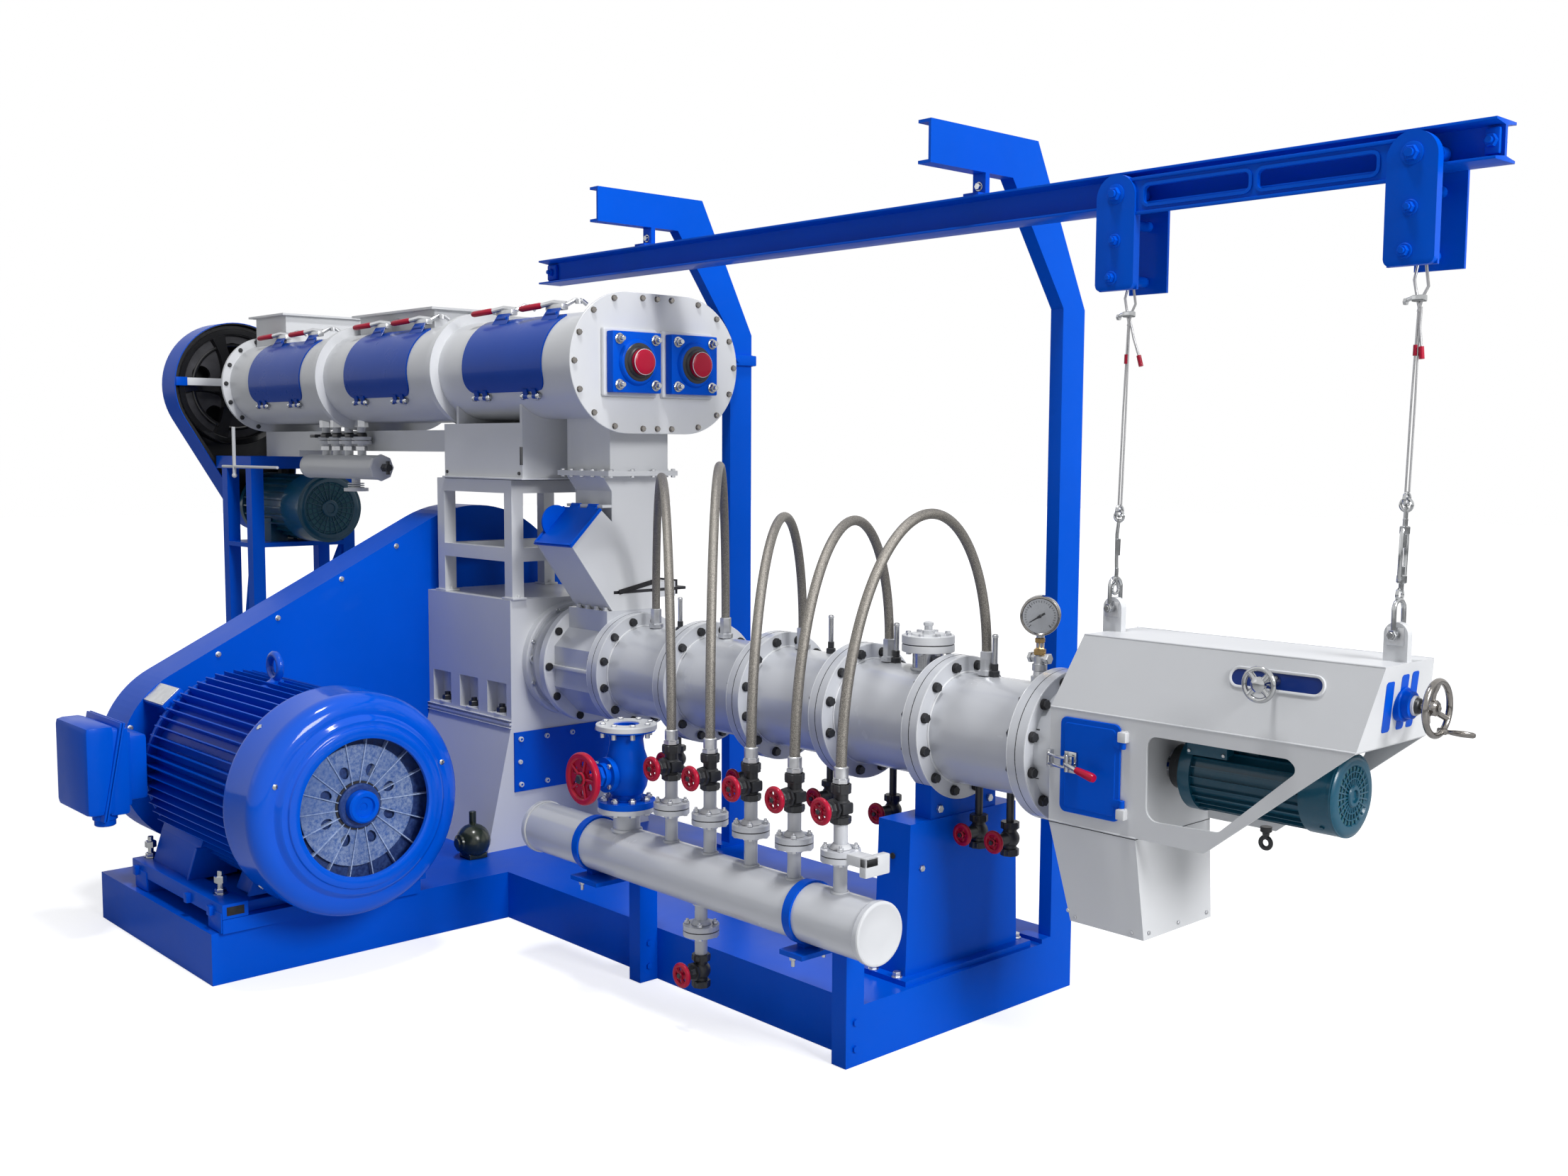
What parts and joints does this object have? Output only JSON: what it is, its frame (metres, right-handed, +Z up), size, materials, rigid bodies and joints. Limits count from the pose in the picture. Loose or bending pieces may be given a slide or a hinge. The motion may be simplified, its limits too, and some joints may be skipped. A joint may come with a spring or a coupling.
{
  "type": "fish feed extruder",
  "caption": "Twin-screw feed extruder with belt drive, gearbox, overhead twin-shaft conditioner, steam header with hoses, and a face cutter hung from a rail.",
  "frame": {"origin": "on the floor below the barrel axis, at the inner corner of the L-shaped base", "axes": "+X along the barrel towards the cutter, +Y away from the steam header side, +Z up"},
  "size_m": [5.74, 1.967, 2.3254],
  "materials": {
    "blue_paint": "gloss",
    "white_paint": "satin",
    "black_parts": "satin",
    "dark_steel": "satin",
    "polished_steel": "polished",
    "red_paint": "gloss",
    "teal_paint": "gloss",
    "belt_rubber": "matte",
    "hose_braid": "satin",
    "wire_rope": "satin"
  },
  "bodies": {
    "root": {"base_frame": "blue_paint", "motor_rails": "blue_paint", "motor_housing": "blue_paint", "motor_fan_cover": "blue_paint", "motor_terminal_box": "blue_paint", "belt_guard": "blue_paint", "drive_belts": "belt_rubber", "gearbox_housing": "white_paint", "gearbox_cover_plate": "blue_paint", "conditioner_supports": "white_paint", "feed_barrel": "white_paint", "barrel_sections": "white_paint", "barrel_bolts": "black_parts", "die_plate": "polished_steel", "pedestal": "blue_paint", "barrel_fittings": "polished_steel", "steam_header": "white_paint", "header_supports": "blue_paint", "valve_bodies": "black_parts", "angle_valve": "blue_paint", "steam_hoses": "hose_braid", "rear_stand": "blue_paint", "conditioner_shell": "white_paint", "conditioner_end_plate": "white_paint", "conditioner_bearings": "blue_paint", "inlet_hopper": "white_paint", "conditioner_guard": "blue_paint", "conditioner_motor": "teal_paint", "conditioner_manifold": "white_paint", "feed_chute": "white_paint", "rail_columns": "blue_paint", "overhead_rail": "blue_paint", "conditioner_belts": "belt_rubber"},
    "motor_rotor": {"motor_rotor": "dark_steel"},
    "gearbox_input": {"gearbox_sheave": "dark_steel"},
    "left_screw": {"screw_left": "polished_steel"},
    "right_screw": {"screw_right": "polished_steel"},
    "left_paddles": {"paddle_shaft_left": "dark_steel"},
    "right_paddles": {"paddle_shaft_right": "dark_steel"},
    "conditioner_rotor": {"conditioner_rotor": "dark_steel"},
    "access_door_1": {"access_door_1": "blue_paint"},
    "access_door_2": {"access_door_2": "blue_paint"},
    "access_door_3": {"access_door_3": "blue_paint"},
    "bypass_lid": {"bypass_lid": "blue_paint"},
    "slide_gate": {"slide_gate": "dark_steel"},
    "cutter_frame": {"trolley": "blue_paint", "cutter_slings": "wire_rope", "cutter_housing": "white_paint"},
    "cutter_door": {"cutter_door": "blue_paint"},
    "cutter_carriage": {"cutter_motor": "teal_paint"},
    "knife_head": {"knife_head": "polished_steel"},
    "adjust_handwheel": {"adjust_handwheel": "polished_steel"},
    "lock_handwheel": {"lock_handwheel": "polished_steel"},
    "angle_valve_wheel": {"angle_valve_wheel": "red_paint"},
    "valve_wheel_1": {"valve_wheel_1": "red_paint"},
    "valve_wheel_2": {"valve_wheel_2": "red_paint"},
    "valve_wheel_3": {"valve_wheel_3": "red_paint"},
    "valve_wheel_4": {"valve_wheel_4": "red_paint"},
    "valve_wheel_5": {"valve_wheel_5": "red_paint"},
    "drain_wheel": {"drain_wheel": "red_paint"}
  },
  "joints": [
    {"name": "motor_spin", "type": "hinge", "parent": "root", "child": "motor_rotor", "pos_m": [-0.3, -1.05, 0.505], "axis": [1, 0, 0], "continuous": true},
    {"name": "gearbox_spin", "type": "hinge", "parent": "root", "child": "gearbox_input", "pos_m": [-0.8, -0.04, 0.89], "axis": [1, 0, 0], "continuous": true},
    {"name": "left_screw_spin", "type": "hinge", "parent": "root", "child": "left_screw", "pos_m": [0.5, -0.059, 0.788], "axis": [1, 0, 0], "continuous": true},
    {"name": "right_screw_spin", "type": "hinge", "parent": "root", "child": "right_screw", "pos_m": [0.5, 0.059, 0.788], "axis": [1, 0, 0], "continuous": true},
    {"name": "left_paddle_spin", "type": "hinge", "parent": "root", "child": "left_paddles", "pos_m": [-1, -0.116, 1.786], "axis": [1, 0, 0], "continuous": true},
    {"name": "right_paddle_spin", "type": "hinge", "parent": "root", "child": "right_paddles", "pos_m": [-1, 0.116, 1.786], "axis": [1, 0, 0], "continuous": true},
    {"name": "conditioner_motor_spin", "type": "hinge", "parent": "root", "child": "conditioner_rotor", "pos_m": [-2.5, 0.02, 1.25], "axis": [1, 0, 0], "continuous": true},
    {"name": "access_door_1_hinge", "type": "hinge", "parent": "root", "child": "access_door_1", "pos_m": [-1.954, -0.26771, 1.68367], "axis": [1, 0, 0], "range_deg": [0, 120]},
    {"name": "access_door_2_hinge", "type": "hinge", "parent": "root", "child": "access_door_2", "pos_m": [-1.095, -0.26771, 1.68367], "axis": [1, 0, 0], "range_deg": [0, 120]},
    {"name": "access_door_3_hinge", "type": "hinge", "parent": "root", "child": "access_door_3", "pos_m": [-0.234, -0.26771, 1.68367], "axis": [1, 0, 0], "range_deg": [0, 120]},
    {"name": "bypass_lid_hinge", "type": "hinge", "parent": "root", "child": "bypass_lid", "pos_m": [0, -0.1191, 1.3305], "axis": [-1, 0, 0], "range_deg": [0, 75]},
    {"name": "slide_gate_travel", "type": "slide", "parent": "root", "child": "slide_gate", "axis": [0, 1, 0], "range_m": [0, 0.15]},
    {"name": "trolley_travel", "type": "slide", "parent": "root", "child": "cutter_frame", "axis": [1, 0, 0], "range_m": [0, 0.04]},
    {"name": "cutter_door_hinge", "type": "hinge", "parent": "cutter_frame", "child": "cutter_door", "pos_m": [2.158, -0.162, 0.78], "axis": [0, 0, 1], "range_deg": [0, 110]},
    {"name": "adjust_handwheel_turn", "type": "hinge", "parent": "cutter_frame", "child": "adjust_handwheel", "pos_m": [2.8, 0, 0.999], "axis": [1, 0, 0], "range_deg": [0, 1800]},
    {"name": "carriage_travel", "type": "slide", "parent": "cutter_frame", "child": "cutter_carriage", "axis": [1, 0, 0], "range_m": [0, 0.06]},
    {"name": "knife_spin", "type": "hinge", "parent": "cutter_carriage", "child": "knife_head", "pos_m": [2.1, 0, 0.788], "axis": [1, 0, 0], "continuous": true},
    {"name": "lock_handwheel_turn", "type": "hinge", "parent": "cutter_carriage", "child": "lock_handwheel", "pos_m": [2.51, -0.19, 1.033], "axis": [0, -1, 0], "range_deg": [0, 180]},
    {"name": "angle_valve_turn", "type": "hinge", "parent": "root", "child": "angle_valve_wheel", "pos_m": [0.81, -0.7, 0.63092], "axis": [0, -1, 0], "range_deg": [0, 1080]},
    {"name": "steam_valve_1_turn", "type": "hinge", "parent": "root", "child": "valve_wheel_1", "pos_m": [1.008, -0.63, 0.678], "axis": [0, -1, 0], "range_deg": [0, 720]},
    {"name": "steam_valve_2_turn", "type": "hinge", "parent": "root", "child": "valve_wheel_2", "pos_m": [1.168, -0.63, 0.678], "axis": [0, -1, 0], "range_deg": [0, 720]},
    {"name": "steam_valve_3_turn", "type": "hinge", "parent": "root", "child": "valve_wheel_3", "pos_m": [1.328, -0.63, 0.678], "axis": [0, -1, 0], "range_deg": [0, 720]},
    {"name": "steam_valve_4_turn", "type": "hinge", "parent": "root", "child": "valve_wheel_4", "pos_m": [1.488, -0.63, 0.678], "axis": [0, -1, 0], "range_deg": [0, 720]},
    {"name": "steam_valve_5_turn", "type": "hinge", "parent": "root", "child": "valve_wheel_5", "pos_m": [1.648, -0.63, 0.678], "axis": [0, -1, 0], "range_deg": [0, 720]},
    {"name": "drain_valve_turn", "type": "hinge", "parent": "root", "child": "drain_wheel", "pos_m": [1.132, -0.63, 0.152], "axis": [0, -1, 0], "range_deg": [0, 720]}
  ],
  "couplings": [
    {"joint": "gearbox_spin", "follows": "motor_spin", "ratio": 0.60606},
    {"joint": "left_screw_spin", "follows": "motor_spin", "ratio": 0.2},
    {"joint": "right_screw_spin", "follows": "motor_spin", "ratio": 0.2},
    {"joint": "right_paddle_spin", "follows": "left_paddle_spin", "ratio": -1},
    {"joint": "conditioner_motor_spin", "follows": "left_paddle_spin", "ratio": 2.9773},
    {"joint": "adjust_handwheel_turn", "follows": "carriage_travel", "rad_per_m": 523.6}
  ]
}
